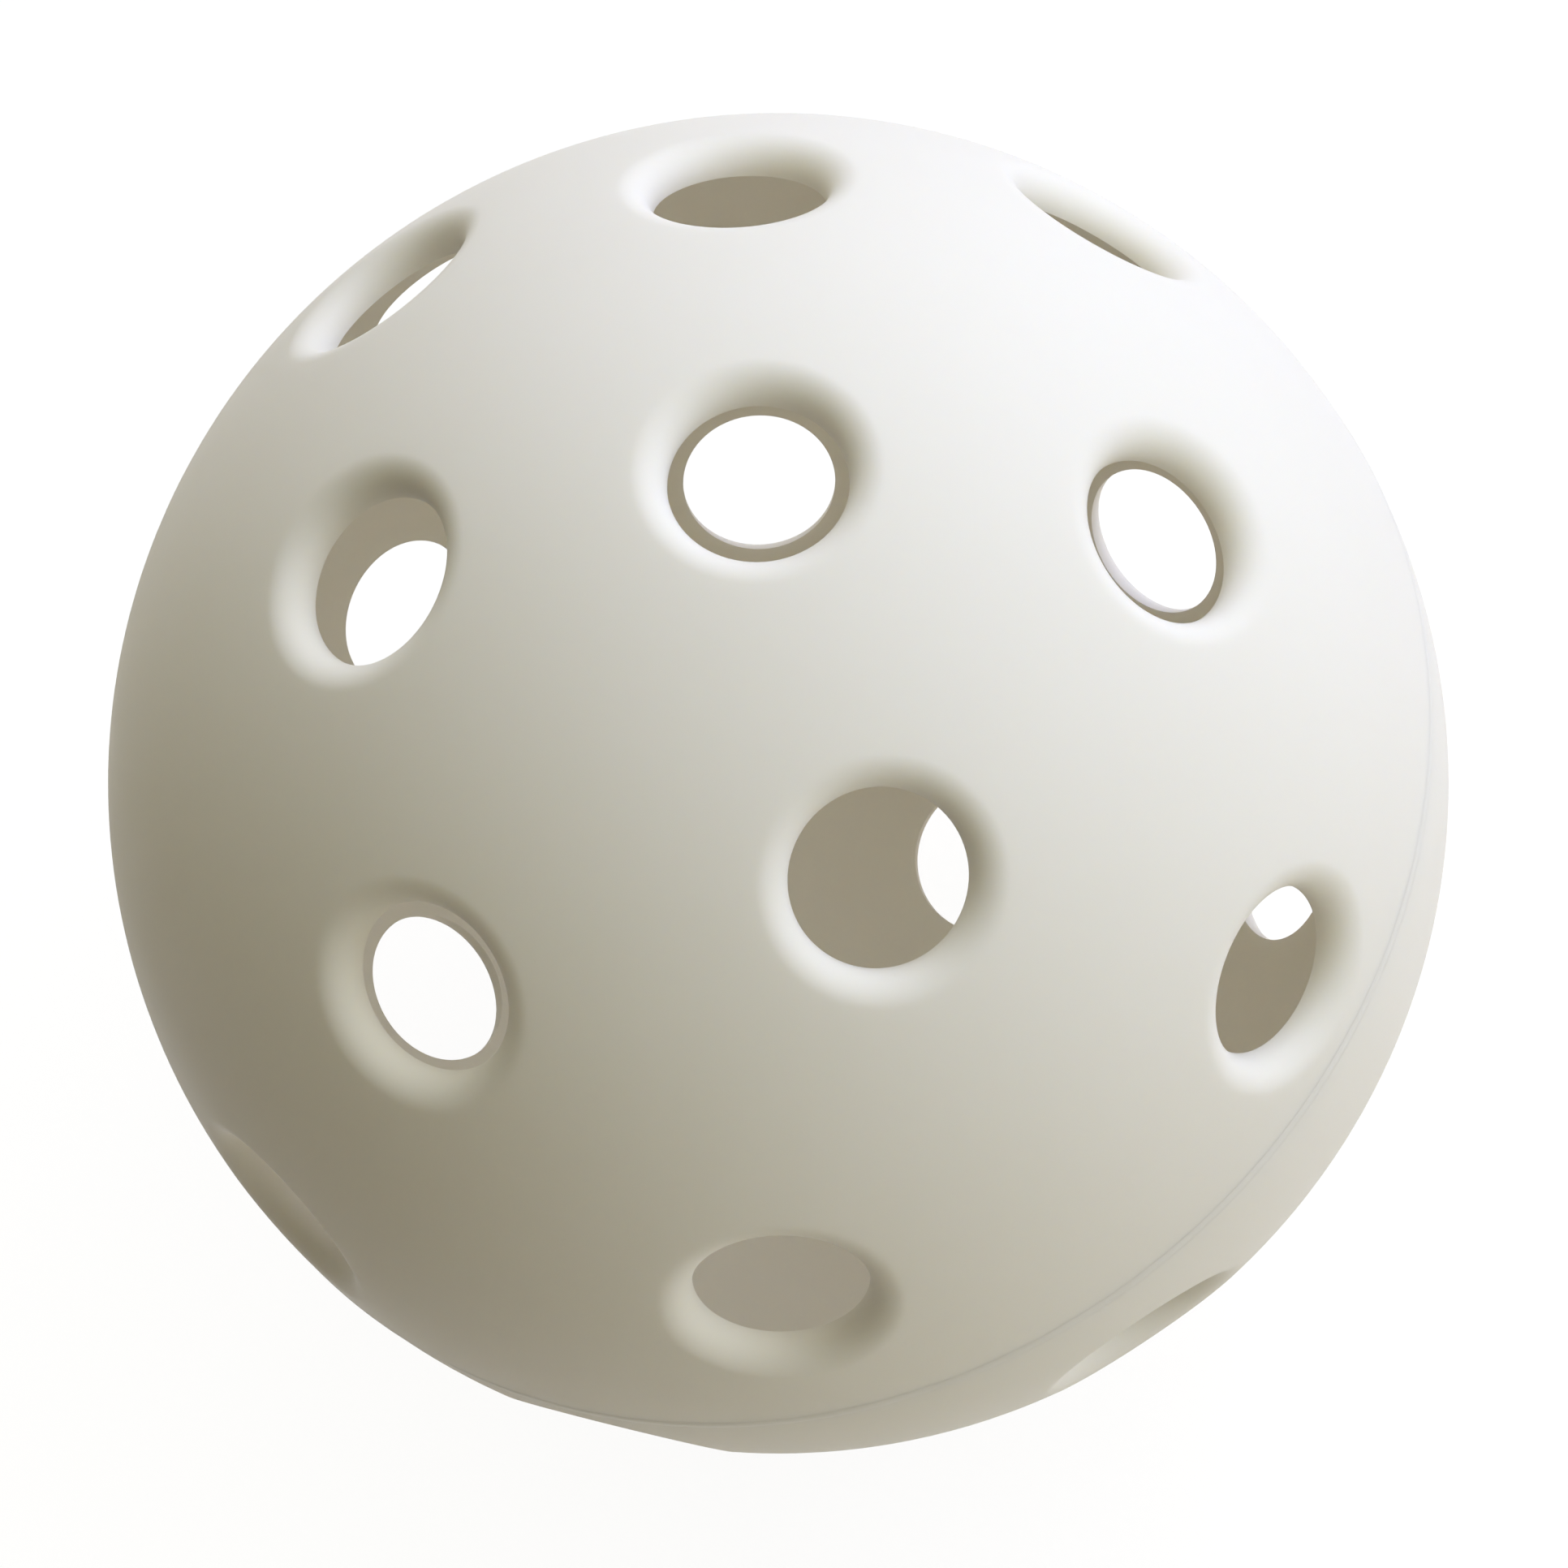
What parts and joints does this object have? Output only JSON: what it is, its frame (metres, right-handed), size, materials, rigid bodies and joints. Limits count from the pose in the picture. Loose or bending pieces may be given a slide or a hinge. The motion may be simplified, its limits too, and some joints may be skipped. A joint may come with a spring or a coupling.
{
  "type": "pickleball",
  "caption": "Hollow perforated plastic ball of two welded half shells, with round holes that have rounded mouths, for paddle and indoor ball games.",
  "frame": {"origin": "centre of the ball", "axes": "+Z from the centre to the upper half's pole; the seam lies in the XY plane; +X points to the turn of one hole of the upper half's inner pair"},
  "size_m": [0.0742, 0.0742, 0.074],
  "materials": {
    "shell_plastic": "satin moulded",
    "weld_plastic": "satin"
  },
  "bodies": {
    "root": {"upper_half": "shell_plastic", "lower_half": "shell_plastic", "weld_bead": "weld_plastic"}
  },
  "joints": []
}
